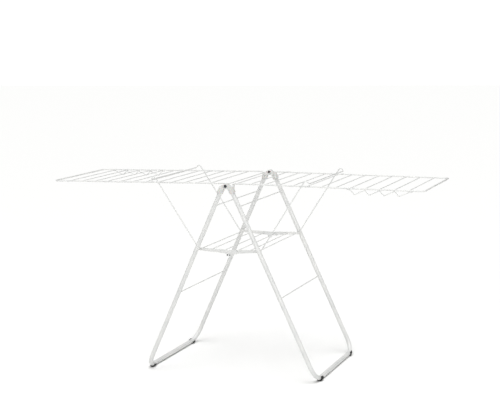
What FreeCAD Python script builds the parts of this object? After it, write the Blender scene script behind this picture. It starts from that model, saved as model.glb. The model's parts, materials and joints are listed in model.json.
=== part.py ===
"""Folding winged clothes airer in white powder-coated steel.

Two tube leg frames meet at an apex axis and are held apart by a folding wire
shelf. A wire wing hangs on each leg frame's top caps and is held level by a
U-shaped wire stay. Every shape is built for the right-hand side, and the
left-hand one is the same shape turned half a turn about the vertical axis.

Frame: millimetres, X along the wings, Y from front to back, Z up, with the
origin on the floor under the middle of the apex axis.
"""
import FreeCAD
import Part
import math
import os

Vector = FreeCAD.Vector
ORIGIN = Vector(0, 0, 0)
ALONG_X = Vector(1, 0, 0)
ALONG_Y = Vector(0, 1, 0)
ALONG_Z = Vector(0, 0, 1)

# ---------------------------------------------------------------- leg frames
OPEN_HALF_ANGLE = 24.7      # each leg frame from the vertical, degrees
LEG_RUN = 966.0             # apex axis to foot bar, along the frame
LEG_OFFSET = 15.0           # leg tube centreline outboard of the apex axis
LEG_HALF_WIDTH = 290.0      # leg tube centreline from the middle plane
TUBE_D = 20.0
TUBE_WALL = 1.2
FOOT_BEND_R = 65.0          # centreline radius of the two bottom bends
LEG_ROD_D = 5.0             # thin cross rods between the two legs of a frame
UPPER_ROD_RUN = 109.0       # apex axis to the upper cross rod, along the frame
LOWER_ROD_RUN = 564.0

# ------------------------------------------------------------- moulded caps
CAP_WALL = 2.5              # of the square sleeve over the tube top
CAP_CORNER_R = 6.0
SHOULDER_GAP = 1.5          # lapped ears clear the other cap's shoulder by this much
SEAT_DEPTH = 16.0           # shoulder down to the end of the tube
SLEEVE_GRIP = 12.0          # sleeve's length over the tube
CAP_PLUG = 30.0             # plug that reaches down inside the tube
CAP_PLUG_GAP = 0.1
EAR_GAP = 0.4               # between the two lapped ears
RIVET_D = 8.0
RIVET_HEAD_D = 14.0
RIVET_HEAD_T = 2.4
RUNNING_GAP = 0.05          # radial clearance of every turning fit

# -------------------------------------------------------------- rubber feet
FOOT_WALL = 4.0
FOOT_STRAIGHT = 4.0         # length along the straight foot bar
FOOT_SWEEP = 17.0           # degrees that the foot follows round the bend
FOOT_LIP = 4.0              # the clip's lips reach this far above the tube's middle
SOLE_DEPTH = 0.7            # worn flat on the floor

# -------------------------------------------------------------------- wings
WING_PIVOT_DEPTH = 8.0      # cap's shoulder down to the wing pivot
WING_RISE = 21.0            # rails above the wing pivot
WING_REACH = 878.0          # wing pivot to the outer end bar
WING_INSET = 38.0           # rail centreline inside the leg tube's
WING_DROOP = 0.7            # degrees that each wing hangs below level
RAIL_D = 7.0
RAIL_CORNER_R = 18.0
PIVOT_BEND_R = 6.0
PIVOT_SOCKET = 15.0         # depth of the wing pivot hole in a cap
PIVOT_END_GAP = 1.5
WING_ROD_D = 4.0
FIRST_ROD_X = 75.5          # wing pivot to the first rod
ROD_PITCH = 66.6
ROD_DROP = 1.5              # rods sit a little below the rails' middle
PEG_D = 5.0
PEG_GAP = 0.4               # between a wing's rest pegs and the stay's arms
PEG_OVERHANG = 1.0          # a peg reaches this far past the stay's arm

# ---------------------------------------------------------- hanger zigzags
ZIGZAG_D = 4.0
ZIGZAG_TEETH = 4
ZIGZAG_DEPTH = 27.0         # rail middle down to the bottom of a tooth
ZIGZAG_START = 5.0          # a tooth starts this far outboard of its rod
ZIGZAG_STEEP = 20.0         # length of the steep side, along the rail
ZIGZAG_LEAD = 14.0          # straight weld length at each end
ZIGZAG_BEND_R = 4.0

# --------------------------------------------------------------------- stays
STAY_PIVOT_RUN = 333.0      # apex axis to the common stay and shelf pivot
STAY_D = 5.0
STAY_ARM_ANGLE = 56.8       # above level, degrees
CROSSBAR_GAP = 7.9          # crossbar above the wing's rails, face to face
LOOP_DROP = 25.0            # length from that corner down to the crossbar
LOOP_DROP_ANGLE = 60.0      # below level, degrees
LOOP_BEND_R = 11.0
STAY_BEND_R = 6.0
STAY_PIN_REACH = 6.0        # how far the bent end stands inside the leg tube

# --------------------------------------------------------------------- shelf
SHELF_DROOP = 3.0           # each half hangs below level, degrees
STRIP_T = 2.0
STRIP_END_H = 12.0
STRIP_MID_H = 17.0
STRIP_INSET = 5.4           # left half's strips inside the leg tubes' inner faces
STRIP_LAP_GAP = 0.4         # right half's strips stand this far further in
STRIP_GAP_HALF = 28.0       # strips stop this far from the middle
STRIP_CHAMFER = 10.0
SHELF_ROD_D = 4.0
INNER_SHELF_RODS = (31.0, 93.0)  # from the middle of the shelf
OUTER_SHELF_ROD = 12.0      # from the stay pivot
PLATE_T = 1.5
PLATE_HALF = 40.0           # hinge plate reaches this far each side
PLATE_TAB_W = 22.0
PLATE_TAB_H = 20.0          # strip middle down to the tab's lower edge
PLATE_CORNER_R = 3.0
STUD_D = 6.0
STUD_T = 1.2
BUSH_D = 11.0
BUSH_GAP = 0.3

CUT_MARGIN = 1.0            # how far a cutting shape runs past the face it cuts

# --------------------------------------------------------- sizes that follow
TUBE_R = TUBE_D / 2
RAIL_R = RAIL_D / 2
CAP_SIZE = TUBE_D + 2 * CAP_WALL
CAP_HALF = CAP_SIZE / 2
EAR_R = CAP_HALF
CAP_SHOULDER = EAR_R + SHOULDER_GAP
CAP_SEAT = CAP_SHOULDER + SEAT_DEPTH
CAP_BOTTOM = CAP_SEAT + SLEEVE_GRIP
WING_PIVOT_RUN = CAP_SHOULDER + WING_PIVOT_DEPTH
WING_HALF_WIDTH = LEG_HALF_WIDTH - WING_INSET
WING_ROD_COUNT = int((WING_REACH - FIRST_ROD_X) / ROD_PITCH)
ZIGZAG_FIRST_ROD = WING_ROD_COUNT - 1 - ZIGZAG_TEETH  # counted from 0
SLOPE = math.radians(OPEN_HALF_ANGLE)
FOOT_HEIGHT = TUBE_R + FOOT_WALL - SOLE_DEPTH
APEX_Z = FOOT_HEIGHT + LEG_RUN * math.cos(SLOPE) - LEG_OFFSET * math.sin(SLOPE)
TUBE_INNER_FACE = LEG_HALF_WIDTH - TUBE_R
STRIP_FACE_LEFT = TUBE_INNER_FACE - STRIP_INSET
STRIP_INNER_FACE = STRIP_FACE_LEFT - STRIP_LAP_GAP - STRIP_T
STAY_HALF_WIDTH = STRIP_INNER_FACE - STAY_BEND_R


def leg_point(x, run):
    """World place, on the middle plane, of a point in the right leg frame."""
    return Vector(
        x * math.cos(SLOPE) + run * math.sin(SLOPE),
        0,
        APEX_Z + x * math.sin(SLOPE) - run * math.cos(SLOPE),
    )


WING_PIVOT = leg_point(LEG_OFFSET, WING_PIVOT_RUN)
STAY_PIVOT = leg_point(LEG_OFFSET, STAY_PIVOT_RUN)
SHELF_HALF = STAY_PIVOT.x / math.cos(math.radians(SHELF_DROOP))
SHELF_ROD_FROM_MIDDLE = INNER_SHELF_RODS + (SHELF_HALF - OUTER_SHELF_ROD,)


def stay_arm_length():
    """Stay pivot to the corner of the top loop, so that the crossbar clears the rails."""
    arm = math.radians(STAY_ARM_ANGLE)
    drop = math.radians(LOOP_DROP_ANGLE)
    droop = math.radians(WING_DROOP)
    lift = WING_RISE + RAIL_R + CROSSBAR_GAP + STAY_D / 2
    out = STAY_PIVOT.x + LOOP_DROP * math.cos(drop) - WING_PIVOT.x
    up = STAY_PIVOT.z - LOOP_DROP * math.sin(drop) - WING_PIVOT.z
    left_to_climb = lift / math.cos(droop) - out * math.tan(droop) - up
    return left_to_climb / (math.sin(arm) + math.cos(arm) * math.tan(droop))


STAY_ARM = stay_arm_length()


# ------------------------------------------------------------------- helpers
def in_leg(shape):
    """Tilt a shape from the upright leg frame, apex at 0, to its open place."""
    placed = shape.copy()
    placed.rotate(ORIGIN, ALONG_Y, -OPEN_HALF_ANGLE)
    placed.translate(Vector(0, 0, APEX_Z))
    return placed


def in_wing(shape):
    """Move a shape from the level wing frame, pivot at 0, to its place."""
    placed = shape.copy()
    placed.rotate(ORIGIN, ALONG_Y, WING_DROOP)
    placed.translate(WING_PIVOT)
    return placed


def half_turn(shape):
    """Turn a right-hand shape about the vertical axis to the left-hand place."""
    turned = shape.copy()
    turned.rotate(ORIGIN, ALONG_Z, 180)
    return turned


def bar(start, end, diameter):
    """Round bar between two points."""
    run = end - start
    return Part.makeCylinder(diameter / 2, run.Length, start, run)


def tube(start, end, diameter, wall):
    """Round tube between two points."""
    return bar(start, end, diameter).cut(bar(start, end, diameter - 2 * wall))


def rounded_path(points, radii):
    """Wire through the points with each inner corner rounded to its radius."""
    edges = []
    last = points[0]
    for corner, after, radius in zip(points[1:], points[2:], radii):
        back = (last - corner).normalize()
        onward = (after - corner).normalize()
        half = back.getAngle(onward) / 2
        reach = radius / math.tan(half)
        middle_way = (back + onward).normalize()
        centre = corner + middle_way * (radius / math.sin(half))
        arc_start = corner + back * reach
        arc_end = corner + onward * reach
        arc_middle = centre - middle_way * radius
        if last.distanceToPoint(arc_start) > 1e-6:
            edges.append(Part.makeLine(last, arc_start))
        edges.append(Part.Arc(arc_start, arc_middle, arc_end).toShape())
        last = arc_end
    if last.distanceToPoint(points[-1]) > 1e-6:
        edges.append(Part.makeLine(last, points[-1]))
    return Part.Wire(edges)


def bent_wire(points, radii, diameter):
    """Solid round wire along a rounded path."""
    path = rounded_path(points, radii)
    circle = Part.Wire(Part.makeCircle(diameter / 2, points[0], points[1] - points[0]))
    return path.makePipeShell([circle], True, False)


def prism(outline, low_y, high_y):
    """Flat outline of (x, z) points, extruded from low_y to high_y."""
    corners = [Vector(x, low_y, z) for x, z in outline]
    face = Part.Face(Part.makePolygon(corners + corners[:1]))
    return face.extrude(Vector(0, high_y - low_y, 0))


def edges_along(shape, direction):
    """Straight edges of the shape that run along a direction."""
    found = []
    for edge in shape.Edges:
        tangent = edge.tangentAt(edge.FirstParameter)
        straight = edge.Curve.TypeId == "Part::GeomLine"
        if straight and abs(abs(tangent.dot(direction)) - 1) < 1e-6:
            found.append(edge)
    return found


def tangent_point(outside, radius, side):
    """Where a line from an (x, z) point touches a circle round the origin."""
    distance = math.hypot(*outside)
    angle = math.atan2(outside[1], outside[0]) + side * math.acos(radius / distance)
    return radius * math.cos(angle), radius * math.sin(angle)


def meeting(point, direction, other, other_direction):
    """Where two lines in the XZ plane cross."""
    gap = other - point
    cross = direction.x * other_direction.z - direction.z * other_direction.x
    along = (gap.x * other_direction.z - gap.z * other_direction.x) / cross
    return point + direction * along


# ---------------------------------------------------------------- leg frames
def leg_tube(side):
    """Straight leg from its cap to the bottom bend; side is -1 at the front."""
    y = side * LEG_HALF_WIDTH
    top = Vector(LEG_OFFSET, y, -CAP_SEAT)
    bottom = Vector(LEG_OFFSET, y, -(LEG_RUN - FOOT_BEND_R))
    body = tube(top, bottom, TUBE_D, TUBE_WALL)
    hole_outer = Vector(LEG_OFFSET, y, -STAY_PIVOT_RUN)
    hole_inner = Vector(LEG_OFFSET, side * (TUBE_INNER_FACE - CUT_MARGIN), -STAY_PIVOT_RUN)
    return in_leg(body.cut(bar(hole_outer, hole_inner, STAY_D + 2 * RUNNING_GAP)))


def foot_bend(side):
    """Quarter bend from a leg into the foot bar."""
    start = Vector(LEG_OFFSET, side * LEG_HALF_WIDTH, -(LEG_RUN - FOOT_BEND_R))
    ring = Part.Face(Part.Wire(Part.makeCircle(TUBE_R, start, ALONG_Z)))
    bore = Part.Face(Part.Wire(Part.makeCircle(TUBE_R - TUBE_WALL, start, ALONG_Z)))
    centre = Vector(LEG_OFFSET, side * (LEG_HALF_WIDTH - FOOT_BEND_R), start.z)
    return in_leg(ring.cut(bore).revolve(centre, ALONG_X, -side * 90))


def foot_bar():
    """Straight bar on the floor between the two bends."""
    half = LEG_HALF_WIDTH - FOOT_BEND_R
    start = Vector(LEG_OFFSET, -half, -LEG_RUN)
    end = Vector(LEG_OFFSET, half, -LEG_RUN)
    return in_leg(tube(start, end, TUBE_D, TUBE_WALL))


def leg_cross_rod(run):
    """Thin rod between the two legs, coped to the tubes."""
    end = Vector(LEG_OFFSET, LEG_HALF_WIDTH, -run)
    rod = bar(Vector(end.x, -end.y, end.z), end, LEG_ROD_D)
    for side in (-1, 1):
        foot = Vector(LEG_OFFSET, side * LEG_HALF_WIDTH, -run - TUBE_D)
        rod = rod.cut(bar(foot, foot + Vector(0, 0, 2 * TUBE_D), TUBE_D))
    return in_leg(rod)


def cap(side, outer_ear, ear_bore):
    """Moulded cap on a leg top: lapped ear, sleeve, plug and wing pivot hole."""
    middle = side * LEG_HALF_WIDTH
    outer_face = middle + side * CAP_HALF
    inner_face = middle - side * CAP_HALF
    low, high = sorted((outer_face, inner_face))
    sleeve = Part.makeBox(CAP_SIZE, CAP_SIZE, CAP_BOTTOM - CAP_SHOULDER,
                          Vector(LEG_OFFSET - CAP_HALF, low, -CAP_BOTTOM))
    sleeve = sleeve.makeFillet(CAP_CORNER_R, edges_along(sleeve, ALONG_Z))
    shoulder = -CAP_SHOULDER
    inboard = (LEG_OFFSET - CAP_HALF, shoulder)
    outboard = (LEG_OFFSET + CAP_HALF, shoulder)
    root = shoulder - CAP_CORNER_R
    near_inboard = tangent_point(inboard, EAR_R, -1)
    near_outboard = tangent_point(outboard, EAR_R, 1)
    ear_face = outer_face if outer_ear else inner_face
    lap = middle + (ear_face - middle) * EAR_GAP / CAP_SIZE
    ear_low, ear_high = sorted((ear_face, lap))
    web = prism([near_inboard, inboard, (inboard[0] + CAP_CORNER_R, root), (outboard[0], root),
                 outboard, near_outboard], ear_low, ear_high)
    disc = bar(Vector(0, ear_low, 0), Vector(0, ear_high, 0), 2 * EAR_R)
    reach = (LEG_OFFSET - CAP_HALF, LEG_OFFSET + CAP_HALF)
    rounding = Part.makeBox(reach[1] - reach[0], CAP_SIZE, CAP_BOTTOM + 2 * EAR_R,
                            Vector(reach[0], low, -CAP_BOTTOM))
    rounding = rounding.makeFillet(CAP_CORNER_R, edges_along(rounding, ALONG_Z))
    ear_room = 4 * EAR_R
    beside_sleeve = Part.makeBox(ear_room, CAP_SIZE, ear_room,
                                 Vector(reach[0] - ear_room + CAP_CORNER_R, low, -ear_room / 2))
    web = web.common(rounding.fuse(beside_sleeve))
    body = sleeve.fuse([web, disc])
    seat = Vector(LEG_OFFSET, middle, -CAP_SEAT)
    body = body.cut(bar(seat, Vector(seat.x, seat.y, -CAP_BOTTOM), TUBE_D))
    plug_d = TUBE_D - 2 * TUBE_WALL - 2 * CAP_PLUG_GAP
    body = body.fuse(bar(seat, Vector(seat.x, seat.y, -CAP_SEAT - CAP_PLUG), plug_d))
    body = body.cut(bar(Vector(0, low, 0), Vector(0, high, 0), ear_bore))
    mouth = Vector(LEG_OFFSET, inner_face, -WING_PIVOT_RUN)
    floor = mouth + Vector(0, side * PIVOT_SOCKET, 0)
    body = body.cut(bar(mouth, floor, RAIL_D + 2 * RUNNING_GAP))
    return in_leg(body.removeSplitter())


def apex_rivet(side):
    """Domed rivet through the two lapped ears."""
    inner = side * (LEG_HALF_WIDTH - CAP_HALF)
    outer = side * (LEG_HALF_WIDTH + CAP_HALF)
    shank = bar(Vector(0, inner, APEX_Z), Vector(0, outer, APEX_Z), RIVET_D)
    heads = []
    for face, way in ((inner, -side), (outer, side)):
        head = bar(Vector(0, face, APEX_Z), Vector(0, face + way * RIVET_HEAD_T, APEX_Z), RIVET_HEAD_D)
        rim = max(head.Edges, key=lambda edge: way * edge.CenterOfMass.y)
        heads.append(head.makeFillet(RIVET_HEAD_T / 2, [rim]))
    return shank.fuse(heads).removeSplitter()


def foot_arc(start, side):
    """Centreline of the stretch of a bottom bend that a rubber foot follows."""
    def around(angle):
        turn = math.radians(angle)
        return start + Vector(0, side * math.sin(turn), 1 - math.cos(turn)) * FOOT_BEND_R
    return Part.Arc(start, around(FOOT_SWEEP / 2), around(FOOT_SWEEP)).toShape()


def rubber_foot(side):
    """Clip that grips a bottom bend from below, with a flat sole."""
    inner_y = side * (LEG_HALF_WIDTH - FOOT_BEND_R)
    centre = Vector(LEG_OFFSET, inner_y, -LEG_RUN)
    outer_r = TUBE_R + FOOT_WALL
    start = centre - Vector(0, side * FOOT_STRAIGHT, 0)
    outer = Part.Face(Part.Wire(Part.makeCircle(outer_r, start, ALONG_Y)))
    inner = Part.Face(Part.Wire(Part.makeCircle(TUBE_R, start, ALONG_Y)))
    keep = Part.makeBox(2 * outer_r, 2 * CUT_MARGIN, outer_r + FOOT_LIP,
                        Vector(start.x - outer_r, start.y - CUT_MARGIN, start.z - outer_r))
    section = outer.cut(inner).common(keep).Faces[0].OuterWire
    path = Part.Wire([Part.makeLine(start, centre), foot_arc(centre, side)])
    foot = in_leg(path.makePipeShell([section], True, False))
    span = foot.BoundBox
    above_floor = Part.makeBox(span.XLength + 2 * CUT_MARGIN, span.YLength + 2 * CUT_MARGIN,
                               span.ZMax + CUT_MARGIN,
                               Vector(span.XMin - CUT_MARGIN, span.YMin - CUT_MARGIN, 0))
    return foot.common(above_floor)


def pivot_bush(side, strip_face):
    """Spacer on the stay's bent end, between a shelf strip and the leg."""
    near = Vector(STAY_PIVOT.x, side * (strip_face + BUSH_GAP), STAY_PIVOT.z)
    far = Vector(STAY_PIVOT.x, side * TUBE_INNER_FACE, STAY_PIVOT.z)
    return bar(near, far, BUSH_D).cut(bar(near, far, STAY_D + 2 * RUNNING_GAP))


# --------------------------------------------------------------------- wings
def wing_rod_x(index):
    return FIRST_ROD_X + index * ROD_PITCH


def rail_line(side):
    """The straight rail, from its pivot arm to the outer corner."""
    y = side * WING_HALF_WIDTH
    start = Vector(PIVOT_BEND_R, y, WING_RISE)
    end = Vector(WING_REACH - RAIL_CORNER_R, y, WING_RISE)
    return bar(start, end, RAIL_D)


def wing_rail(side):
    return in_wing(rail_line(side))


def wing_pivot_arm(side):
    """Inner end of a rail: down to the pivot and out into the cap."""
    y = side * WING_HALF_WIDTH
    tip = side * (LEG_HALF_WIDTH - CAP_HALF + PIVOT_SOCKET - PIVOT_END_GAP)
    points = [Vector(0, tip, 0), Vector(0, y, 0), Vector(0, y, WING_RISE),
              Vector(PIVOT_BEND_R, y, WING_RISE)]
    return in_wing(bent_wire(points, [PIVOT_BEND_R, PIVOT_BEND_R], RAIL_D))


def wing_corner(side):
    """Rounded outer corner of the wing frame."""
    y = side * WING_HALF_WIDTH
    start = Vector(WING_REACH - RAIL_CORNER_R, y, WING_RISE)
    disc = Part.Face(Part.Wire(Part.makeCircle(RAIL_R, start, ALONG_X)))
    centre = start - Vector(0, side * RAIL_CORNER_R, 0)
    return in_wing(disc.revolve(centre, ALONG_Z, -side * 90))


def wing_outer_end():
    half = WING_HALF_WIDTH - RAIL_CORNER_R
    start = Vector(WING_REACH, -half, WING_RISE)
    return in_wing(bar(start, start + Vector(0, 2 * half, 0), RAIL_D))


def wing_inner_end():
    """Thin rod across the inner end, welded to the two pivot arms."""
    x = -(RAIL_D + WING_ROD_D) / 2
    z = WING_RISE - PIVOT_BEND_R
    half = WING_HALF_WIDTH + RAIL_R
    return in_wing(bar(Vector(x, -half, z), Vector(x, half, z), WING_ROD_D))


def wing_rods():
    """Drying rods between the rails, coped to them."""
    rails = rail_line(-1).fuse(rail_line(1))
    z = WING_RISE - ROD_DROP
    rods = []
    for index in range(WING_ROD_COUNT):
        x = wing_rod_x(index)
        rod = bar(Vector(x, -WING_HALF_WIDTH, z), Vector(x, WING_HALF_WIDTH, z), WING_ROD_D)
        pieces = rod.cut(rails).Solids
        rods.append(max(pieces, key=lambda piece: piece.Volume))
    return in_wing(Part.makeCompound(rods))


def wing_rest_pegs():
    """Short pegs outside the rails that lie on the stay's arms."""
    arm = Vector(math.cos(math.radians(STAY_ARM_ANGLE)), 0, math.sin(math.radians(STAY_ARM_ANGLE)))
    off = (STAY_D + PEG_D) / 2 + PEG_GAP
    beside_arm = STAY_PIVOT + Vector(-arm.z, 0, arm.x) * off - WING_PIVOT
    droop = FreeCAD.Rotation(ALONG_Y, -WING_DROOP)
    place = meeting(droop.multVec(beside_arm), droop.multVec(arm), Vector(0, 0, WING_RISE), ALONG_X)
    pegs = []
    for side in (-1, 1):
        start = Vector(place.x, side * WING_HALF_WIDTH, WING_RISE)
        end = Vector(place.x, side * (STAY_HALF_WIDTH + STAY_D / 2 + PEG_OVERHANG), WING_RISE)
        pegs.append(bar(start, end, PEG_D).cut(rail_line(side)))
    return in_wing(Part.makeCompound(pegs))


def hanger_zigzag(side):
    """Toothed wire under a rail; it is cut at the bends so that each gap stays open."""
    top = WING_RISE - (RAIL_D + ZIGZAG_D) / 2
    bottom = WING_RISE - ZIGZAG_DEPTH
    y = side * WING_HALF_WIDTH
    start = wing_rod_x(ZIGZAG_FIRST_ROD) + ZIGZAG_START
    corners = [(start, top)]
    for tooth in range(ZIGZAG_TEETH):
        x = start + tooth * ROD_PITCH
        corners.append((x + ZIGZAG_STEEP, bottom))
        corners.append((x + ROD_PITCH, top))
    ends = [(start - ZIGZAG_LEAD, top)] + corners + [(corners[-1][0] + ZIGZAG_LEAD, top)]
    points = [Vector(x, y, z) for x, z in ends]
    wire = bent_wire(points, [ZIGZAG_BEND_R] * len(corners), ZIGZAG_D)
    pieces = []
    for (low_x, _), (high_x, _) in zip(ends, ends[1:]):
        window = Part.makeBox(high_x - low_x, 2 * ZIGZAG_D, top - bottom + 2 * ZIGZAG_D,
                              Vector(low_x, y - ZIGZAG_D, bottom - ZIGZAG_D))
        pieces.extend(wire.common(window).Solids)
    return in_wing(Part.makeCompound(pieces))


# --------------------------------------------------------------------- stays
def stay_corners(side):
    """Centreline corners of one stay arm, from its bent end to the crossbar."""
    angle = math.radians(STAY_ARM_ANGLE)
    drop = math.radians(LOOP_DROP_ANGLE)
    y = side * STAY_HALF_WIDTH
    foot = STAY_PIVOT + Vector(0, y, 0)
    tip = STAY_PIVOT + Vector(0, side * (TUBE_INNER_FACE + STAY_PIN_REACH), 0)
    top = foot + Vector(math.cos(angle), 0, math.sin(angle)) * STAY_ARM
    end = top + Vector(math.cos(drop), 0, -math.sin(drop)) * LOOP_DROP
    bar_start = end - Vector(0, side * STAY_BEND_R, 0)
    return [tip, foot, top, end, bar_start]


def stay_arm(side):
    """Bent end, arm and top loop of a stay."""
    return bent_wire(stay_corners(side), [STAY_BEND_R, LOOP_BEND_R, STAY_BEND_R], STAY_D)


def stay_crossbar():
    """Straight middle of the stay, over the wing."""
    return bar(stay_corners(-1)[-1], stay_corners(1)[-1], STAY_D)


# --------------------------------------------------------------------- shelf
def in_shelf(shape):
    """Move a shape from the level left half, pivot at 0, to its place."""
    placed = shape.copy()
    placed.rotate(ORIGIN, ALONG_Y, SHELF_DROOP)
    placed.translate(Vector(-STAY_PIVOT.x, 0, STAY_PIVOT.z))
    return placed


def shelf_strip(side, face):
    """Flat strip from its leg pivot to the hinge plate, wider at the middle."""
    end_half = STRIP_END_H / 2
    mid_half = STRIP_MID_H / 2
    tip = SHELF_HALF - STRIP_GAP_HALF
    outline = [(0, -end_half), (tip - STRIP_CHAMFER, -mid_half), (tip, -mid_half + STRIP_CHAMFER),
               (tip, mid_half), (0, end_half)]
    low, high = sorted((side * face, side * (face - STRIP_T)))
    body = prism(outline, low, high)
    body = body.fuse(bar(Vector(0, low, 0), Vector(0, high, 0), STRIP_END_H))
    hole = bar(Vector(0, low, 0), Vector(0, high, 0), STAY_D + 2 * RUNNING_GAP)
    return in_shelf(body.cut(hole).removeSplitter())


def shelf_rods(face):
    """Rods between the two strips of one half."""
    half = face - STRIP_T
    rods = []
    for from_middle in SHELF_ROD_FROM_MIDDLE:
        x = SHELF_HALF - from_middle
        rods.append(bar(Vector(x, -half, 0), Vector(x, half, 0), SHELF_ROD_D))
    return in_shelf(Part.makeCompound(rods))


def hinge_plate(side):
    """Plate on the left half that bridges the middle, with a finger tab below."""
    half_h = STRIP_MID_H / 2
    low_x = SHELF_HALF - PLATE_HALF
    high_x = SHELF_HALF + PLATE_HALF
    tab = (SHELF_HALF - PLATE_TAB_W / 2, SHELF_HALF + PLATE_TAB_W / 2)
    outline = [(low_x, -half_h), (tab[0], -half_h), (tab[0], -PLATE_TAB_H), (tab[1], -PLATE_TAB_H),
               (tab[1], -half_h), (high_x, -half_h), (high_x, half_h), (low_x, half_h)]
    low, high = sorted((side * STRIP_FACE_LEFT, side * (STRIP_FACE_LEFT + PLATE_T)))
    body = prism(outline, low, high)
    return in_shelf(body.makeFillet(PLATE_CORNER_R, edges_along(body, ALONG_Y)))


def hinge_studs(side):
    """Rivet heads on a hinge plate: two fixings, the pivot and two on the tab."""
    fix_x = SHELF_HALF - (PLATE_HALF + STRIP_GAP_HALF) / 2
    pivot_x = SHELF_HALF + (PLATE_HALF + STRIP_GAP_HALF) / 2
    fix_z = STRIP_MID_H / 4
    tab_x = PLATE_TAB_W / 4
    tab_z = -(PLATE_TAB_H + STRIP_MID_H / 2) / 2
    places = [(fix_x, fix_z), (fix_x, -fix_z), (pivot_x, 0),
              (SHELF_HALF - tab_x, tab_z), (SHELF_HALF + tab_x, tab_z)]
    face = side * (STRIP_FACE_LEFT + PLATE_T)
    heads = []
    for x, z in places:
        head = bar(Vector(x, face, z), Vector(x, face + side * STUD_T, z), STUD_D)
        rim = max(head.Edges, key=lambda edge: side * edge.CenterOfMass.y)
        heads.append(head.makeFillet(STUD_T / 2, [rim]))
    return in_shelf(Part.makeCompound(heads))


# ------------------------------------------------------------------ assembly
def leg_frame_nodes(name, place, strip_face, running):
    """All pieces of one leg frame; front is the side at negative Y once placed."""
    sides = {"front": -1, "back": 1} if name == "right" else {"front": 1, "back": -1}
    nodes = {}
    for end, side in sides.items():
        bore = RIVET_D + (2 * RUNNING_GAP if running else 0)
        nodes[f"{name}_{end}_leg_tube"] = leg_tube(side)
        nodes[f"{name}_{end}_foot_bend"] = foot_bend(side)
        nodes[f"{name}_{end}_hinge_cap"] = cap(side, side < 0, bore)
        nodes[f"{name}_{end}_rubber_foot"] = rubber_foot(side)
    nodes[f"{name}_foot_bar"] = foot_bar()
    nodes[f"{name}_upper_cross_rod"] = leg_cross_rod(UPPER_ROD_RUN)
    nodes[f"{name}_lower_cross_rod"] = leg_cross_rod(LOWER_ROD_RUN)
    nodes[f"{name}_pivot_bushes"] = Part.makeCompound([pivot_bush(side, strip_face) for side in (-1, 1)])
    return {node: place(shape) for node, shape in nodes.items()}


def wing_nodes(name, place):
    """All pieces of one wing and of its stay."""
    sides = {"front": -1, "back": 1} if name == "right" else {"front": 1, "back": -1}
    nodes = {}
    for end, side in sides.items():
        nodes[f"{name}_wing_{end}_rail"] = wing_rail(side)
        nodes[f"{name}_stay_{end}_arm"] = stay_arm(side)
    nodes[f"{name}_wing_pivot_arms"] = Part.makeCompound([wing_pivot_arm(side) for side in (-1, 1)])
    nodes[f"{name}_wing_corners"] = Part.makeCompound([wing_corner(side) for side in (-1, 1)])
    nodes[f"{name}_wing_outer_end"] = wing_outer_end()
    nodes[f"{name}_wing_inner_end"] = wing_inner_end()
    nodes[f"{name}_wing_rods"] = wing_rods()
    nodes[f"{name}_wing_rest_pegs"] = wing_rest_pegs()
    nodes[f"{name}_hanger_zigzag"] = hanger_zigzag(-1)
    nodes[f"{name}_stay_crossbar"] = stay_crossbar()
    return {node: place(shape) for node, shape in nodes.items()}


def shelf_nodes(name, place, face):
    """Strips and rods of one shelf half."""
    sides = {"front": -1, "back": 1} if name == "left" else {"front": 1, "back": -1}
    nodes = {f"shelf_{name}_{end}_strip": shelf_strip(side, face) for end, side in sides.items()}
    nodes[f"shelf_{name}_rods"] = shelf_rods(face)
    return {node: place(shape) for node, shape in nodes.items()}


def as_built(shape):
    return shape


def build():
    """Every node of the airer, by name."""
    face_right = STRIP_FACE_LEFT - STRIP_LAP_GAP
    nodes = {}
    nodes.update(leg_frame_nodes("right", as_built, face_right, True))
    nodes.update(leg_frame_nodes("left", half_turn, STRIP_FACE_LEFT, False))
    nodes.update(wing_nodes("right", as_built))
    nodes.update(wing_nodes("left", half_turn))
    nodes.update(shelf_nodes("left", as_built, STRIP_FACE_LEFT))
    nodes.update(shelf_nodes("right", half_turn, face_right))
    for end, side in (("front", -1), ("back", 1)):
        nodes[f"{end}_apex_rivet"] = apex_rivet(side)
        nodes[f"shelf_{end}_hinge_plate"] = hinge_plate(side)
        nodes[f"shelf_{end}_hinge_studs"] = hinge_studs(side)
    return nodes


os.makedirs("parts", exist_ok=True)
for node_name, node_shape in build().items():
    node_shape.exportStep(f"parts/{node_name}.step")
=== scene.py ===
# %% [markdown]
# # A folding clothes airer, finished in Blender
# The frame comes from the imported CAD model, so every wire, tube and strip is already in its place, in
# metres. This script gives each one its real surface, and remakes the small moulded and riveted pieces
# that a CAD solid leaves too sharp. The CAD box is measured first, because the finished model has to
# stay inside it.

# %% Load the frame
import bpy
import bmesh
import json
import math
from mathutils import Matrix, Vector


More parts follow.
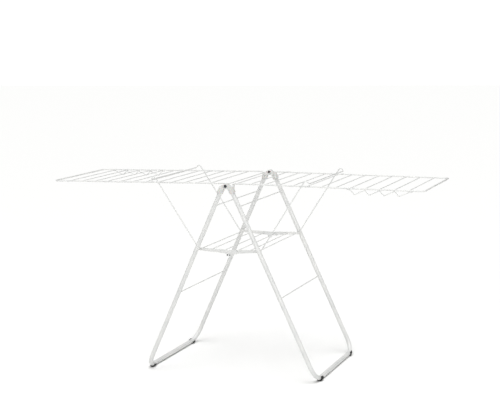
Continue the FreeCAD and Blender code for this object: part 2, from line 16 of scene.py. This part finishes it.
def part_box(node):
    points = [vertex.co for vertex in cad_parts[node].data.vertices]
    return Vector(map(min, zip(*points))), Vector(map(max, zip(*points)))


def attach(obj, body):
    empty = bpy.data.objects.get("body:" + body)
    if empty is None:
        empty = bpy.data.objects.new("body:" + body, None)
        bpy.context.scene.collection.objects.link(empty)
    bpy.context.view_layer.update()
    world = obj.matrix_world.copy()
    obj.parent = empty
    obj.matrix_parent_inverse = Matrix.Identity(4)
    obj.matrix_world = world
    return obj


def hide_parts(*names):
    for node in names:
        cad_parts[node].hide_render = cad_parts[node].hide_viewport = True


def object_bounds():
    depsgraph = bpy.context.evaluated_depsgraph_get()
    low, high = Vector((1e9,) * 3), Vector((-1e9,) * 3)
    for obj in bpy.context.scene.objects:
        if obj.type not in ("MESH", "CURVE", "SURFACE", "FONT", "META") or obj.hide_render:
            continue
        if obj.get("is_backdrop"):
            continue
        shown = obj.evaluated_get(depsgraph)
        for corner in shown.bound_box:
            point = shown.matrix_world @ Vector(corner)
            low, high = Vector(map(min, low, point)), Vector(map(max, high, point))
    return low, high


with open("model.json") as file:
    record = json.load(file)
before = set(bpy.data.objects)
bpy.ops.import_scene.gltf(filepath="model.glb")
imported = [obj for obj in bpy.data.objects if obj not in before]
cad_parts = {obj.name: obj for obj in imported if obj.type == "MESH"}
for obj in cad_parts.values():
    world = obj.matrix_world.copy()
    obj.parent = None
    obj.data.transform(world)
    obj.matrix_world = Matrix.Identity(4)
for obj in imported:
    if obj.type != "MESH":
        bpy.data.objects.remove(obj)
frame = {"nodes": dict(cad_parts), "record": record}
cad_low, cad_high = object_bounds()
MM = 0.001
print("nodes", len(frame["nodes"]), "size", [round(v, 4) for v in cad_high - cad_low])

# %% [markdown]
# ## Helpers for materials
# Colours are picked as sRGB hex values, as on a paint chart, but the shader works in linear light, so one
# function turns them. Another adds a node with its settings and links, which keeps a material to a few
# readable lines. The last starts a material with an empty node tree.

# %% Colour and node helpers
def linear(hex_colour):
    """The linear RGBA of an sRGB hex colour such as '#f2f2f0'."""
    channels = [int(hex_colour[i:i + 2], 16) / 255 for i in (1, 3, 5)]
    bent = [c / 12.92 if c <= 0.04045 else ((c + 0.055) / 1.055) ** 2.4 for c in channels]
    return (*bent, 1.0)


def add_node(tree, kind, inputs=None, **settings):
    """Adds a node, sets its properties, and fills its sockets with values or links."""
    node = tree.nodes.new("ShaderNode" + kind)
    for name, value in settings.items():
        setattr(node, name, value)
    for name, value in (inputs or {}).items():
        if isinstance(value, bpy.types.NodeSocket):
            tree.links.new(value, node.inputs[name])
        else:
            node.inputs[name].default_value = value
    return node


def new_material(name):
    """A new material with no nodes yet, and its node tree."""
    material = bpy.data.materials.new(name)
    material.use_nodes = True
    material.node_tree.nodes.clear()
    return material, material.node_tree


print("white on the chart", [round(c, 3) for c in linear("#e2e2e0")])

# %% [markdown]
# ## Satin white powder coat on steel
# The wires and tubes are mild steel, sprayed with polyester powder and baked. The powder melts into a
# satin film, so the eye sees a soft highlight along each wire, broken by a faint orange peel. Real orange
# peel is about 1 mm across, which is too fine to show here, so it is drawn at 3 mm. The film is a little
# uneven too: broad patches differ by a few percent in gloss and whiteness.

# %% Powder coat
ORANGE_PEEL = 3 * MM
COAT_PATCH = 60 * MM


def powder_coat():
    material, tree = new_material("satin white powder coat")
    place = add_node(tree, "TexCoord").outputs["Object"]
    patches = add_node(tree, "TexNoise", {"Vector": place, "Scale": 1 / COAT_PATCH, "Detail": 3.0})
    tint = add_node(tree, "ValToRGB", {"Fac": patches.outputs["Fac"]})
    tint.color_ramp.elements[0].position = 0.35
    tint.color_ramp.elements[0].color = linear("#d9dad9")
    tint.color_ramp.elements[1].position = 0.65
    tint.color_ramp.elements[1].color = linear("#e2e2e0")
    gloss = add_node(tree, "MapRange", {"Value": patches.outputs["Fac"], "From Min": 0.3,
                                        "From Max": 0.7, "To Min": 0.34, "To Max": 0.44})
    peel = add_node(tree, "TexNoise", {"Vector": place, "Scale": 1 / ORANGE_PEEL, "Detail": 1.0})
    bump = add_node(tree, "Bump", {"Height": peel.outputs["Fac"], "Strength": 0.4,
                                   "Distance": 0.2 * MM})
    film = add_node(tree, "BsdfPrincipled", {
        "Base Color": tint.outputs["Color"], "Roughness": gloss.outputs["Result"],
        "Normal": bump.outputs["Normal"], "IOR": 1.5, "Coat Weight": 0.15, "Coat Roughness": 0.2})
    add_node(tree, "OutputMaterial", {"Surface": film.outputs["BSDF"]})
    return material


# %% [markdown]
# ## Moulded white polypropylene
# The hinge caps and the little pivot bushes are injection moulded. The tool is spark eroded, which leaves
# a fine even grain and a duller white than the paint. The plastic lets a little light in, so its edges
# look softer than steel's. The grain is drawn at 0.8 mm, coarser than the real 0.1 mm, and the white
# clouds a little every 12 mm or so, where the plastic flowed.

# %% White plastic
MOULD_GRAIN = 0.8 * MM
MOULD_CLOUD = 12 * MM


def white_polypropylene():
    material, tree = new_material("moulded white polypropylene")
    place = add_node(tree, "TexCoord").outputs["Object"]
    grain = add_node(tree, "TexNoise", {"Vector": place, "Scale": 1 / MOULD_GRAIN, "Detail": 2.0})
    cloud = add_node(tree, "TexNoise", {"Vector": place, "Scale": 1 / MOULD_CLOUD, "Detail": 2.0})
    tint = add_node(tree, "ValToRGB", {"Fac": cloud.outputs["Fac"]})
    tint.color_ramp.elements[0].position = 0.35
    tint.color_ramp.elements[0].color = linear("#cfcfcc")
    tint.color_ramp.elements[1].position = 0.7
    tint.color_ramp.elements[1].color = linear("#d9d9d6")
    rough = add_node(tree, "MapRange", {"Value": grain.outputs["Fac"], "To Min": 0.48, "To Max": 0.62})
    bump = add_node(tree, "Bump", {"Height": grain.outputs["Fac"], "Strength": 0.3,
                                   "Distance": 0.05 * MM})
    plastic = add_node(tree, "BsdfPrincipled", {
        "Base Color": tint.outputs["Color"], "Roughness": rough.outputs["Result"],
        "Normal": bump.outputs["Normal"], "IOR": 1.49, "Subsurface Weight": 0.08,
        "Subsurface Scale": 1.5 * MM})
    add_node(tree, "OutputMaterial", {"Surface": plastic.outputs["BSDF"]})
    return material


# %% [markdown]
# ## Black moulded rubber
# The feet are a soft black rubber, matt from its talc. It greys where it rubs the floor, so the lowest
# millimetres are dusty. The grain is drawn at 1 mm. A Mix node keeps its number, vector and colour
# sockets under the same names, so the colour ones are picked by their place: 6 and 7 go in, 2 comes out.

# %% Rubber
RUBBER_GRAIN = 1.0 * MM
SCUFF_HEIGHT = 6 * MM
COLOUR_A = 6
COLOUR_B = 7
MIXED_COLOUR = 2


def black_rubber():
    material, tree = new_material("black moulded rubber")
    place = add_node(tree, "TexCoord").outputs["Object"]
    height = add_node(tree, "SeparateXYZ", {"Vector": place}).outputs["Z"]
    grain = add_node(tree, "TexNoise", {"Vector": place, "Scale": 1 / RUBBER_GRAIN, "Detail": 3.0})
    dust = add_node(tree, "MapRange", {"Value": height, "From Min": cad_low.z,
                                       "From Max": cad_low.z + SCUFF_HEIGHT, "To Min": 0.5,
                                       "To Max": 0.0})
    worn = add_node(tree, "Math", {0: dust.outputs["Result"], 1: grain.outputs["Fac"]},
                    operation="MULTIPLY")
    tint = add_node(tree, "Mix", {"Factor": worn.outputs[0]}, data_type="RGBA")
    tint.inputs[COLOUR_A].default_value = linear("#1b1b1c")
    tint.inputs[COLOUR_B].default_value = linear("#5a5854")
    rough = add_node(tree, "MapRange", {"Value": grain.outputs["Fac"], "To Min": 0.6, "To Max": 0.85})
    bump = add_node(tree, "Bump", {"Height": grain.outputs["Fac"], "Strength": 0.4,
                                   "Distance": 0.12 * MM})
    rubber = add_node(tree, "BsdfPrincipled", {
        "Base Color": tint.outputs[MIXED_COLOUR], "Roughness": rough.outputs["Result"],
        "Normal": bump.outputs["Normal"], "IOR": 1.52})
    add_node(tree, "OutputMaterial", {"Surface": rubber.outputs["BSDF"]})
    return material


# %% [markdown]
# ## Blackened steel
# The rivets are steel, blackened in hot oil. They stay metal, dark and half glossy. The oil takes
# unevenly, so the black is mottled every 2 mm or so.

# %% Rivet steel
STEEL_MOTTLE = 2 * MM


def blackened_steel():
    material, tree = new_material("blackened steel")
    place = add_node(tree, "TexCoord").outputs["Object"]
    mottle = add_node(tree, "TexNoise", {"Vector": place, "Scale": 1 / STEEL_MOTTLE, "Detail": 3.0})
    tint = add_node(tree, "ValToRGB", {"Fac": mottle.outputs["Fac"]})
    tint.color_ramp.elements[0].position = 0.3
    tint.color_ramp.elements[0].color = linear("#3a3a3d")
    tint.color_ramp.elements[1].position = 0.75
    tint.color_ramp.elements[1].color = linear("#57575a")
    rough = add_node(tree, "MapRange", {"Value": mottle.outputs["Fac"], "To Min": 0.28, "To Max": 0.45})
    steel = add_node(tree, "BsdfPrincipled", {
        "Base Color": tint.outputs["Color"], "Roughness": rough.outputs["Result"], "Metallic": 1.0})
    add_node(tree, "OutputMaterial", {"Surface": steel.outputs["BSDF"]})
    return material


# %% [markdown]
# ## Giving every CAD node its finish
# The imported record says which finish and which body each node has. A CAD mesh is never changed here, only
# its material slots. Pieces that are remade below stand for their nodes, and the rest stay as they are.

# %% Assign the finishes
FINISHES = {"white_powder_coat": powder_coat(), "white_plastic": white_polypropylene(),
            "black_rubber": black_rubber(), "dark_rivet": blackened_steel()}
SLOT_OF = {part["node"]: part["material_slot"] for part in frame["record"]["subparts"]}
BODY_OF = {node: body for body, nodes in frame["record"]["behaviour"]["bodies"].items()
           for node in nodes}

for node, shown in frame["nodes"].items():
    shown.data.materials.clear()
    shown.data.materials.append(FINISHES[SLOT_OF[node]])
print("finishes given to", len(frame["nodes"]), "nodes")

# %% [markdown]
# ## Where things are
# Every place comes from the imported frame. The two cross rods of a leg frame give its slope, and the foot
# bar gives the tube's size and where each bottom bend starts. The left leg frame is the right one turned
# half way round, so pieces are made for the right side and turned.

# %% Measure the frame
def middle(node):
    """The middle of a node's box."""
    low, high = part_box(node)
    return (low + high) / 2


down_leg = (middle("right_lower_cross_rod") - middle("right_upper_cross_rod")).normalized()
LEAN = math.atan2(down_leg.x, -down_leg.z)
bar_low, bar_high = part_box("right_foot_bar")
TUBE_R = (bar_high.z - bar_low.z) / 2
LEG_Y = middle("right_back_leg_tube").y
BEND_R = LEG_Y - bar_high.y
TILT = Matrix.Rotation(-LEAN, 4, "Y")
HALF_TURN = Matrix.Rotation(math.pi, 4, "Z")
print("lean", round(math.degrees(LEAN), 2), "bend radius", round(BEND_R / MM, 1), "mm")

# %% [markdown]
# ## Turning a bmesh into a piece
# Each new piece ends the same way: its normals are made to point outwards, it gets its finish, and it
# rides on the body of the node that it stands for or is fixed to.

# %% Finish a piece
SHARP = math.radians(38)


def finish_piece(bm, name, body, slot, stands_for=None):
    """Makes the object, with its place in its mesh, parents it to its body and hides the node it stands
    for.
    """
    bmesh.ops.recalc_face_normals(bm, faces=bm.faces)
    for face in bm.faces:
        face.smooth = True
    mesh = bpy.data.meshes.new(name)
    bm.to_mesh(mesh)
    bm.free()
    mesh.set_sharp_from_angle(angle=SHARP)
    mesh.materials.append(FINISHES[slot])
    piece = bpy.data.objects.new(name, mesh)
    bpy.context.scene.collection.objects.link(piece)
    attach(piece, body)
    if stands_for:
        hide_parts(stands_for)
    return piece


# %% [markdown]
# ## Rubber feet
# Each foot is a soft rubber clip, pressed on to a bottom bend from below. It grips the tube a little past
# its middle and follows the bend. Its outside starts as one point that is spun round the tube's axis into
# a C, drawn a short way along the foot bar, and spun again round the bend.

# %% Draw the outside of a foot
FOOT_WALL = 4 * MM
FOOT_LIP = 4 * MM
FOOT_STRAIGHT = 4 * MM
FOOT_SWEEP = math.radians(17)
STRAIGHT_STEPS = 4
BEND_STEPS = 20
C_STEPS = 36


def clip_shell():
    """The foot's outer skin and its rings of vertices, with the bend's start at the origin."""
    bm = bmesh.new()
    outer_r = TUBE_R + FOOT_WALL
    lip = math.asin(FOOT_LIP / outer_r)
    seed = bm.verts.new((outer_r * math.cos(lip), -FOOT_STRAIGHT, outer_r * math.sin(lip)))
    bmesh.ops.spin(bm, geom=[seed], cent=(0, -FOOT_STRAIGHT, 0), axis=(0, 1, 0),
                   angle=math.pi + 2 * lip, steps=C_STEPS)
    ring = list(bm.edges)
    rings = [list(bm.verts)]
    for _ in range(STRAIGHT_STEPS):
        grown = bmesh.ops.extrude_edge_only(bm, edges=ring)["geom"]
        verts = [g for g in grown if isinstance(g, bmesh.types.BMVert)]
        bmesh.ops.translate(bm, verts=verts, vec=(0, FOOT_STRAIGHT / STRAIGHT_STEPS, 0))
        ring = [g for g in grown if isinstance(g, bmesh.types.BMEdge)]
        rings.append(verts)
    before = len(bm.verts)
    bmesh.ops.spin(bm, geom=ring, cent=(0, 0, BEND_R), axis=(1, 0, 0), angle=FOOT_SWEEP,
                   steps=BEND_STEPS)
    bm.verts.ensure_lookup_table()
    added = bm.verts[before:]
    per_ring = len(rings[0])
    rings += [added[i:i + per_ring] for i in range(0, len(added), per_ring)]
    return bm, rings


print("foot", round((FOOT_STRAIGHT + FOOT_SWEEP * BEND_R) / MM, 1), "mm long on the tube's axis")

# %% [markdown]
# The skin is thickened inwards to the tube. Rings pushed in make the grip grooves, and a bevel rounds the
# lips and the ends. Then the foot is tilted with its leg and moved to its corner, and a plane at the floor
# cuts the sole flat.

# %% Make the feet
GROOVE_DEPTH = 0.6 * MM
GROOVE_EVERY = 4
RIM_ANGLE = math.radians(60)
RIM_ROUNDING = 1.1 * MM


def rubber_foot(name, end, turn, node):
    """One foot: the wall, its grooves and rounded rims, put in its corner and cut at the floor."""
    bm, rings = clip_shell()
    bmesh.ops.recalc_face_normals(bm, faces=bm.faces)
    bm.normal_update()
    bmesh.ops.solidify(bm, geom=bm.faces, thickness=FOOT_WALL)
    grooves = [v for ring in rings[GROOVE_EVERY:-GROOVE_EVERY:GROOVE_EVERY] for v in ring]
    bm.normal_update()
    for vert in grooves:
        if vert.is_valid:
            vert.co -= vert.normal * GROOVE_DEPTH
    bm.normal_update()
    rims = [e for e in bm.edges if e.is_manifold and e.calc_face_angle() > RIM_ANGLE]
    bmesh.ops.bevel(bm, geom=rims, offset=RIM_ROUNDING, segments=3, profile=0.5, affect="EDGES",
                    material=-1, clamp_overlap=True)
    flip = Matrix.Diagonal((1, end, 1, 1))
    bar = middle("right_foot_bar")
    place = Matrix.Translation(Vector((bar.x, end * bar_high.y, bar.z)))
    bmesh.ops.transform(bm, matrix=turn @ place @ TILT @ flip, verts=bm.verts)
    bmesh.ops.bisect_plane(bm, geom=bm.verts[:] + bm.edges[:] + bm.faces[:],
                           plane_co=(0, 0, cad_low.z), plane_no=(0, 0, -1), clear_outer=True)
    open_edges = [e for e in bm.edges if e.is_boundary]
    bmesh.ops.holes_fill(bm, edges=open_edges, sides=0)
    return finish_piece(bm, name, BODY_OF[node], "black_rubber", node)


CORNERS = [(side, end, turn) for side, turn in (("right", Matrix.Identity(4)), ("left", HALF_TURN))
           for end in (-1, 1)]


def end_name(turn, end):
    """Front or back, after the half turn is allowed for."""
    return "front" if (end < 0) == (turn is not HALF_TURN) else "back"


for side, end, turn in CORNERS:
    corner = f"{side}_{end_name(turn, end)}"
    foot = rubber_foot(f"{corner}_foot_clip", end, turn, f"{corner}_rubber_foot")
    low = min(v.co.z for v in foot.data.vertices)
    print(foot.name, len(foot.data.polygons), "faces, lowest", round(low / MM, 3), "mm")

# %% [markdown]
# ## Softened edges
# A moulded cap, a pressed strip or a hinge plate never has a knife edge: the mould or the tumbling drum
# rounds it. Their CAD shapes are right, so a copy of each is merged, its flat facets are joined, and its
# sharp edges get a small bevel, which catches a thin line of light.

# %% Soften the caps, bushes, strips and plates
MERGE_CAD = 0.002 * MM
FACET = math.radians(1)
CREASE = math.radians(35)


def softened(node, radius):
    """A bmesh copy of a CAD node with its sharp edges rounded."""
    bm = bmesh.new()
    bm.from_mesh(frame["nodes"][node].data)
    bmesh.ops.remove_doubles(bm, verts=bm.verts, dist=MERGE_CAD)
    bmesh.ops.dissolve_limit(bm, angle_limit=FACET, verts=bm.verts, edges=bm.edges)
    bm.normal_update()
    sharp = [e for e in bm.edges if e.is_manifold and e.calc_face_angle() > CREASE]
    bmesh.ops.bevel(bm, geom=sharp, offset=radius, segments=2, profile=0.5, affect="EDGES",
                    material=-1, clamp_overlap=True)
    return bm


SOFT_EDGES = {"hinge_cap": 0.8 * MM, "pivot_bushes": 0.4 * MM, "_strip": 0.45 * MM,
              "hinge_plate": 0.35 * MM}

for node in sorted(frame["nodes"]):
    radius = next((r for words, r in SOFT_EDGES.items() if node.endswith(words)), None)
    if radius:
        made = "moulded" if SLOT_OF[node] == "white_plastic" else "pressed"
        piece = finish_piece(softened(node, radius), f"{node}_{made}", BODY_OF[node], SLOT_OF[node],
                             node)
        print(piece.name, len(piece.data.polygons), "faces")

# %% [markdown]
# ## Apex rivets
# One blackened rivet holds each pair of caps and is the axle that the frame folds on. Its heads are
# domed, with a dimple where the tool closed them. A rivet is round, so half of its outline is drawn and
# spun about the axle.

# %% Spin the rivets
RIVET_R = 4 * MM
HEAD_R = 7 * MM
HEAD_T = 2.4 * MM
ROUND_STEPS = 40
MERGE_SPUN = 0.001 * MM


def spun(outline, origin, steps=ROUND_STEPS):
    """Spins an outline of (radius, distance along Y) about the Y axis through the origin."""
    bm = bmesh.new()
    verts = [bm.verts.new((origin.x + r, origin.y + y, origin.z)) for r, y in outline]
    for first, second in zip(verts, verts[1:]):
        bm.edges.new((first, second))
    bmesh.ops.spin(bm, geom=bm.verts[:] + bm.edges[:], cent=origin, axis=(0, 1, 0),
                   angle=2 * math.pi, steps=steps, use_merge=True)
    bmesh.ops.remove_doubles(bm, verts=bm.verts, dist=MERGE_SPUN)
    return bm


def head_outline(face, way):
    """A domed rivet head with a dimple, from its rim on the face to its middle."""
    return [(HEAD_R, face), (HEAD_R, face + way * 0.3 * MM), (6.4 * MM, face + way * 1.1 * MM),
            (5.2 * MM, face + way * 1.8 * MM), (3.6 * MM, face + way * 2.25 * MM),
            (2.7 * MM, face + way * HEAD_T), (2.1 * MM, face + way * 2.2 * MM),
            (1.5 * MM, face + way * 1.7 * MM), (0, face + way * 1.5 * MM)]


for end in ("front", "back"):
    low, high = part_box(f"{end}_apex_rivet")
    centre = (low + high) / 2
    half = (high.y - low.y) / 2 - HEAD_T
    near = head_outline(-half, -1)[::-1]
    far = head_outline(half, 1)
    bm = spun(near + [(RIVET_R, -half), (RIVET_R, half)] + far, centre)
    node = f"{end}_apex_rivet"
    rivet = finish_piece(bm, f"{end}_domed_rivet", BODY_OF[node], "dark_rivet", node)
    print(rivet.name, len(rivet.data.polygons), "faces")

# %% [markdown]
# ## Bosses round the rivets
# Each cap has a low raised ring round its rivet head, which stiffens the ear. It is a small closed
# outline, spun about the axle and sunk a little into the cap's face. Only one ear of each lapped pair is
# outermost, so the rings of the other caps are on their inner faces.

# %% Raise a boss on each cap
BOSS_INNER_R = 7.7 * MM
BOSS_OUTER_R = 10.2 * MM
BOSS_H = 0.7 * MM
BOSS_SUNK = 0.4 * MM
BOSS_SHOULDER = 0.3 * MM


def boss_ring(centre, way):
    """A ring with sloped shoulders that stands out of a cap's face towards +Y or -Y."""
    outline = [(BOSS_INNER_R, -BOSS_SUNK), (BOSS_INNER_R, BOSS_H - BOSS_SHOULDER),
               (BOSS_INNER_R + BOSS_SHOULDER, BOSS_H), (BOSS_OUTER_R - 2 * BOSS_SHOULDER, BOSS_H),
               (BOSS_OUTER_R, BOSS_H - 2 * BOSS_SHOULDER), (BOSS_OUTER_R, -BOSS_SUNK),
               (BOSS_INNER_R, -BOSS_SUNK)]
    return spun([(r, way * y) for r, y in outline], centre)


OUTER_EAR = {"front": "right", "back": "left"}
for end, outwards in (("front", -1), ("back", 1)):
    low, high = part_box(f"{end}_apex_rivet")
    centre = (low + high) / 2
    half = (high.y - low.y) / 2 - HEAD_T
    for side in ("left", "right"):
        node = f"{side}_{end}_hinge_cap"
        way = outwards if OUTER_EAR[end] == side else -outwards
        face = centre + Vector((0, way * half, 0))
        finish_piece(boss_ring(face, way), f"{node}_boss", BODY_OF[node], "white_plastic")
        print(node, "boss at y", round(face.y / MM, 1), "mm")

# %% [markdown]
# ## Shelf hinge rivets
# The heads on each hinge plate are painted with it, and only the two on the finger tab are left dark. All
# are the same small dome, spun like the big rivets. The CAD node holds them all as separate solids, so
# their boxes say where each one goes. The tab's pair, which is the lowest, stands for the CAD node, and
# the painted ones ride with it.

# %% Rivet the hinge plates
STUD_OUTLINE = [(0, -0.3 * MM), (3.0 * MM, -0.3 * MM), (3.0 * MM, 0.3 * MM), (2.6 * MM, 0.75 * MM),
                (1.8 * MM, 1.05 * MM), (0.9 * MM, 1.18 * MM), (0, 1.2 * MM)]
STUD_STEPS = 24


def joined(pieces):
    """One bmesh from several, each with its faces already pointing outwards."""
    whole = bmesh.new()
    for part in pieces:
        bmesh.ops.recalc_face_normals(part, faces=part.faces)
        mesh = bpy.data.meshes.new("part")
        part.to_mesh(mesh)
        part.free()
        whole.from_mesh(mesh)
        bpy.data.meshes.remove(mesh)
    return whole


def loose_parts(node):
    """The box of each separate solid in a node."""
    bm = bmesh.new()
    bm.from_mesh(frame["nodes"][node].data)
    bmesh.ops.remove_doubles(bm, verts=bm.verts, dist=MERGE_CAD)
    left = set(bm.verts)
    boxes = []
    while left:
        stack = [left.pop()]
        points = []
        while stack:
            vert = stack.pop()
            points.append(vert.co.copy())
            for edge in vert.link_edges:
                other = edge.other_vert(vert)
                if other in left:
                    left.remove(other)
                    stack.append(other)
        boxes.append((Vector(map(min, zip(*points))), Vector(map(max, zip(*points)))))
    bm.free()
    return sorted(boxes, key=lambda box: (round(box[0].z, 4), round(box[0].x, 4)))


def stud(box, way):
    """A small domed head whose foot is at the plate."""
    low, high = box
    foot = Vector(((low.x + high.x) / 2, low.y if way > 0 else high.y, (low.z + high.z) / 2))
    return spun([(r, way * y) for r, y in STUD_OUTLINE], foot, STUD_STEPS)


for end, way in (("front", -1), ("back", 1)):
    node = f"shelf_{end}_hinge_studs"
    boxes = loose_parts(node)
    on_tab = [stud(box, way) for box in boxes[:2]]
    on_plate = [stud(box, way) for box in boxes[2:]]
    finish_piece(joined(on_tab), f"shelf_{end}_tab_rivets", BODY_OF[node], "dark_rivet", node)
    finish_piece(joined(on_plate), f"shelf_{end}_plate_rivets", BODY_OF[node], "white_powder_coat")
    print(end, len(on_tab), "dark and", len(on_plate), "painted heads")

# %% [markdown]
# ## Weld collars
# Every thin rod is resistance welded to the wire or tube that carries it, and the powder rounds the joint
# into a small collar. One flared outline is spun about the rod's own axis at each end. There are about
# seventy of them, so each has only a few dozen faces.

# %% Find the rods and add their collars
COLLAR_STEPS = 12


def collar_outline(radius, way):
    """A flare from the rail's surface down to the rod, closed on the axis."""
    return [(0, -way * 0.4 * MM), (radius + 1.3 * MM, -way * 0.4 * MM),
            (radius + 1.2 * MM, way * 0.2 * MM), (radius + 0.5 * MM, way * 1.0 * MM),
            (radius + 0.05 * MM, way * 2.2 * MM), (0, way * 2.2 * MM)]


def add_collars(name, node):
    """Collars at both ends of every rod in a node."""
    collars = []
    for low, high in loose_parts(node):
        radius = (high.z - low.z) / 2
        for y, way in ((low.y, 1), (high.y, -1)):
            centre = Vector(((low.x + high.x) / 2, y, (low.z + high.z) / 2))
            collars.append(spun(collar_outline(radius, way), centre, COLLAR_STEPS))
    piece = finish_piece(joined(collars), name, BODY_OF[node], SLOT_OF[node])
    print(name, len(piece.data.polygons), "faces")


for side in ("left", "right"):
    for rods in ("wing_rods", "wing_inner_end", "upper_cross_rod", "lower_cross_rod"):
        add_collars(f"{side}_{rods}_welds", f"{side}_{rods}")
    add_collars(f"shelf_{side}_rods_welds", f"shelf_{side}_rods")

# %% [markdown]
# ## Floor
# The airer stands in a bright white studio, on a large pale sheet that lies just under the feet. The
# plain view transform keeps the whites white.

# %% Lay the floor
scene = bpy.context.scene
scene.view_settings.view_transform = "Standard"
FLOOR_HALF = 30
FLOOR_GAP = 0.05 * MM


def floor_material():
    """A matt pale sheet."""
    material, tree = new_material("pale studio floor")
    sheet = add_node(tree, "BsdfPrincipled", {
        "Base Color": linear("#f7f7f6"), "Roughness": 0.9, "Specular IOR Level": 0.1})
    add_node(tree, "OutputMaterial", {"Surface": sheet.outputs["BSDF"]})
    return material


def pale_floor():
    """The sheet, which only belongs to the studio."""
    bm = bmesh.new()
    bmesh.ops.create_grid(bm, x_segments=8, y_segments=8, size=FLOOR_HALF)
    mesh = bpy.data.meshes.new("studio_floor")
    bmesh.ops.translate(bm, verts=bm.verts, vec=(0, 0, cad_low.z - FLOOR_GAP))
    bm.to_mesh(mesh)
    bm.free()
    mesh.materials.append(floor_material())
    floor = bpy.data.objects.new("studio_floor", mesh)
    scene.collection.objects.link(floor)
    floor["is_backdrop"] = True


pale_floor()
print("floor at", round((cad_low.z - FLOOR_GAP) / MM, 2), "mm")

# %% [markdown]
# ## Lights
# A very wide light from above is even over the whole floor. A soft box beside the camera gives each round
# wire a light middle and grey edges, and a weak one fills the other side. The world is plain white behind
# the object but dim as a light, so that the white wires still stand out against it.

# %% Light the studio
CEILING_STRENGTH = 3.2
CEILING_SPREAD = math.radians(60)
CEILING_TURN = (math.radians(12), math.radians(4), 0)
AIM = Vector((0, 0, 0.5))
WORLD_LIGHT = 0.10
WORLD_SEEN = 1.05
WHITE = (1, 1, 1, 1)
SOFT_BOXES = {"key_soft_box": ((2.6, -5.4, 1.6), 0.7, 74),
              "fill_soft_box": ((-3.4, -2.6, 1.8), 1.2, 10)}


def soft_box(name, place, size, watts):
    """A square area light that looks at the middle of the airer."""
    light = bpy.data.lights.new(name, "AREA")
    light.shape = "SQUARE"
    light.size = size
    light.energy = watts
    lamp = bpy.data.objects.new(name, light)
    lamp.location = place
    towards = AIM - Vector(place)
    lamp.rotation_euler = towards.to_track_quat("-Z", "Y").to_euler()
    scene.collection.objects.link(lamp)


def ceiling_light():
    """A very wide soft light from above, even over the whole floor."""
    light = bpy.data.lights.new("ceiling_light", "SUN")
    light.energy = CEILING_STRENGTH
    light.angle = CEILING_SPREAD
    lamp = bpy.data.objects.new("ceiling_light", light)
    lamp.rotation_euler = CEILING_TURN
    scene.collection.objects.link(lamp)


def white_world():
    """White to the camera, and a dim light to everything else."""
    world = bpy.data.worlds.new("white studio")
    scene.world = world
    world.use_nodes = True
    tree = world.node_tree
    tree.nodes.clear()
    seen = add_node(tree, "LightPath").outputs["Is Camera Ray"]
    strength = add_node(tree, "MapRange", {"Value": seen, "To Min": WORLD_LIGHT,
                                           "To Max": WORLD_SEEN})
    shown = add_node(tree, "Background", {"Color": WHITE, "Strength": strength.outputs["Result"]})
    add_node(tree, "OutputWorld", {"Surface": shown.outputs["Background"]})


white_world()
ceiling_light()
for name, (place, size, watts) in SOFT_BOXES.items():
    soft_box(name, place, size, watts)
    print(name, watts, "watts at", place)

# %% [markdown]
# ## Camera
# The camera stands at the front right, a little above the wings, and looks slightly down. Its place comes
# from matching the wing corners and the feet, and it is rolled by about one degree.

# %% Camera
CAMERA_PLACE = Vector((2.1092, -5.4924, 1.5679))
CAMERA_YAW = math.radians(20.989)
CAMERA_PITCH = math.radians(7.803)
CAMERA_ROLL = math.radians(-0.9702)
CAMERA_LENS = 90.116
SENSOR_WIDTH = 36


def aim_camera():
    """A camera turned by its yaw and pitch, and then rolled about the line of sight."""
    ahead = Vector((-math.sin(CAMERA_YAW) * math.cos(CAMERA_PITCH),
                    math.cos(CAMERA_YAW) * math.cos(CAMERA_PITCH), -math.sin(CAMERA_PITCH)))
    level = Vector((math.cos(CAMERA_YAW), math.sin(CAMERA_YAW), 0))
    upright = level.cross(ahead)
    right = level * math.cos(CAMERA_ROLL) + upright * math.sin(CAMERA_ROLL)
    up = upright * math.cos(CAMERA_ROLL) - level * math.sin(CAMERA_ROLL)
    turned = Matrix((right, up, -ahead)).transposed().to_4x4()
    data = bpy.data.cameras.new("studio_camera")
    data.lens = CAMERA_LENS
    data.sensor_width = SENSOR_WIDTH
    camera = bpy.data.objects.new("studio_camera", data)
    camera.matrix_world = Matrix.Translation(CAMERA_PLACE) @ turned
    scene.collection.objects.link(camera)
    scene.camera = camera


aim_camera()
print("camera", round(CAMERA_PLACE.length, 2), "m from the middle of the floor")

# %% [markdown]
# ## Sizes at the end
# How far the finished model reaches past the CAD box, below and above, is printed.

# %% Sizes and finish
low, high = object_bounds()
print("grown below by", [round(v / MM, 2) for v in cad_low - low], "mm")
print("grown above by", [round(v / MM, 2) for v in high - cad_high], "mm")
